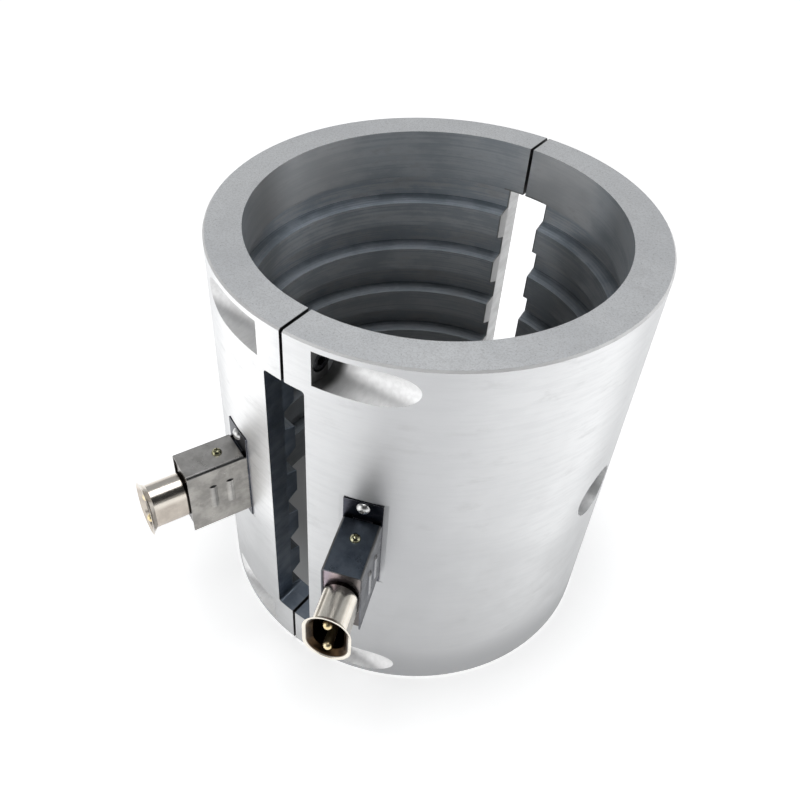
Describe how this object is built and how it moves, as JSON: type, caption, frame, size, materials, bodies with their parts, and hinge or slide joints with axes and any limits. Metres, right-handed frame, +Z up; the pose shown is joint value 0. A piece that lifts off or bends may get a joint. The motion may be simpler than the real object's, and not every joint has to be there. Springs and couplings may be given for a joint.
{
  "type": "cast aluminium band heater",
  "caption": "Cast aluminium band heater: air-grooved half shells clamped round a barrel bore, each with a boxed plug inlet.",
  "frame": {"origin": "on the barrel axis at the lower end face", "axes": "+Z up along the barrel axis, X across the joint between the halves with +X to the half that has the round port, -Y to the front edge of the joint, between the terminal boxes"},
  "size_m": [0.24, 0.2902, 0.252],
  "materials": {
    "cast_aluminium": "satin, turned",
    "stainless": "brushed",
    "dark_steel": "black oxide",
    "zinc": "zinc plated",
    "nickel": "nickel plated, satin",
    "brass": "satin",
    "dark_ceramic": "matt ceramic",
    "pale_ceramic": "matt ceramic",
    "sheath": "drawn steel tube"
  },
  "bodies": {
    "left_shell": {"left_half": "cast_aluminium", "left_element": "sheath", "left_upper_stud": "zinc", "left_lower_stud": "zinc", "left_upper_bead": "pale_ceramic", "left_lower_bead": "pale_ceramic", "left_upper_link": "nickel", "left_lower_link": "nickel", "left_upper_nut": "zinc", "left_lower_nut": "zinc", "left_bracket": "stainless", "left_cover": "stainless", "left_cover_screw": "brass", "left_flange_screw": "zinc", "left_plug_shell": "nickel", "left_plug_insert": "dark_ceramic", "left_upper_pin": "brass", "left_lower_pin": "brass", "left_earth_strip": "zinc", "front_top_nut": "zinc", "front_bottom_nut": "zinc", "back_top_nut": "zinc", "back_bottom_nut": "zinc"},
    "right_shell": {"right_half": "cast_aluminium", "right_element": "sheath", "right_upper_stud": "zinc", "right_lower_stud": "zinc", "right_upper_bead": "pale_ceramic", "right_lower_bead": "pale_ceramic", "right_upper_link": "nickel", "right_lower_link": "nickel", "right_upper_nut": "zinc", "right_lower_nut": "zinc", "right_bracket": "stainless", "right_cover": "stainless", "right_cover_screw": "brass", "right_flange_screw": "zinc", "right_plug_shell": "nickel", "right_plug_insert": "dark_ceramic", "right_upper_pin": "brass", "right_lower_pin": "brass", "right_earth_strip": "zinc", "front_top_washer": "zinc", "front_bottom_washer": "zinc", "back_top_washer": "zinc", "back_bottom_washer": "zinc"},
    "front_top_clamp_screw": {"front_top_screw": "dark_steel"},
    "front_bottom_clamp_screw": {"front_bottom_screw": "dark_steel"},
    "back_top_clamp_screw": {"back_top_screw": "dark_steel"},
    "back_bottom_clamp_screw": {"back_bottom_screw": "dark_steel"}
  },
  "joints": [
    {"name": "clamp_gap", "type": "slide", "parent": "left_shell", "child": "right_shell", "axis": [1, 0, 0], "range_m": [-0.0014, 0.004]},
    {"name": "front_top_turn", "type": "hinge", "parent": "right_shell", "child": "front_top_clamp_screw", "pos_m": [0, -0.11163, 0.238], "axis": [1, 0, 0], "range_deg": [-510, 1450]},
    {"name": "front_bottom_turn", "type": "hinge", "parent": "right_shell", "child": "front_bottom_clamp_screw", "pos_m": [0, -0.11163, 0.014], "axis": [1, 0, 0], "range_deg": [-510, 1450]},
    {"name": "back_top_turn", "type": "hinge", "parent": "right_shell", "child": "back_top_clamp_screw", "pos_m": [0, 0.11163, 0.238], "axis": [1, 0, 0], "range_deg": [-510, 1450]},
    {"name": "back_bottom_turn", "type": "hinge", "parent": "right_shell", "child": "back_bottom_clamp_screw", "pos_m": [0, 0.11163, 0.014], "axis": [1, 0, 0], "range_deg": [-510, 1450]}
  ],
  "couplings": [
    {"joint": "front_top_turn", "follows": "clamp_gap", "rad_per_m": 6283.2},
    {"joint": "front_bottom_turn", "follows": "clamp_gap", "rad_per_m": 6283.2},
    {"joint": "back_top_turn", "follows": "clamp_gap", "rad_per_m": 6283.2},
    {"joint": "back_bottom_turn", "follows": "clamp_gap", "rad_per_m": 6283.2}
  ]
}
